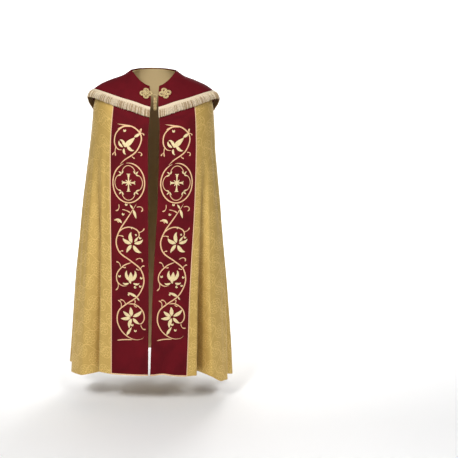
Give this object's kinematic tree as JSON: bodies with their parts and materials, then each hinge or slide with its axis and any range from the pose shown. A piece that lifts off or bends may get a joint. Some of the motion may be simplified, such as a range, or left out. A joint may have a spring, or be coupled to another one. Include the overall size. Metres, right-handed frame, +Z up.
{
  "type": "cope vestment",
  "caption": "Worn open-front semicircular cope of gold brocade with velvet front bands, fringed velvet hood and a breast clasp.",
  "frame": {"origin": "middle of the wearer's neck at its base, level with the shoulders that carry the cope", "axes": "+Z up along the hanging cloth, the open front faces -Y, +X to the viewer's right"},
  "size_m": [0.8143, 0.5477, 1.5146],
  "materials": {
    "brocade": "gold damask brocade, soft sheen",
    "velvet": "burgundy pile velvet",
    "gold_cord": "salmon-gold piping cord",
    "braid": "pale woven fringe heading",
    "bullion": "twisted bullion fringe",
    "brass": "gilt cast openwork"
  },
  "bodies": {
    "root": {"cape_body": "brocade", "corner_piece_left": "brocade", "front_band_left": "velvet", "front_band_right": "velvet", "piping_left": "gold_cord", "piping_right": "gold_cord", "hood": "velvet", "fringe_heading_left": "braid", "fringe_heading_right": "braid", "fringe_strands_left": "bullion", "fringe_strands_right": "bullion", "clasp_left": "brass", "clasp_right": "brass", "clasp_ring": "brass", "chain_left_1": "brass", "chain_left_2": "brass", "chain_left_3": "brass", "chain_left_4": "brass", "chain_left_5": "brass", "chain_left_6": "brass", "chain_left_7": "brass", "chain_left_8": "brass", "chain_left_9": "brass", "chain_right_1": "brass", "chain_right_2": "brass", "chain_right_3": "brass", "chain_right_4": "brass", "chain_right_5": "brass", "chain_right_6": "brass", "chain_right_7": "brass", "chain_right_8": "brass", "chain_right_9": "brass"}
  },
  "joints": []
}
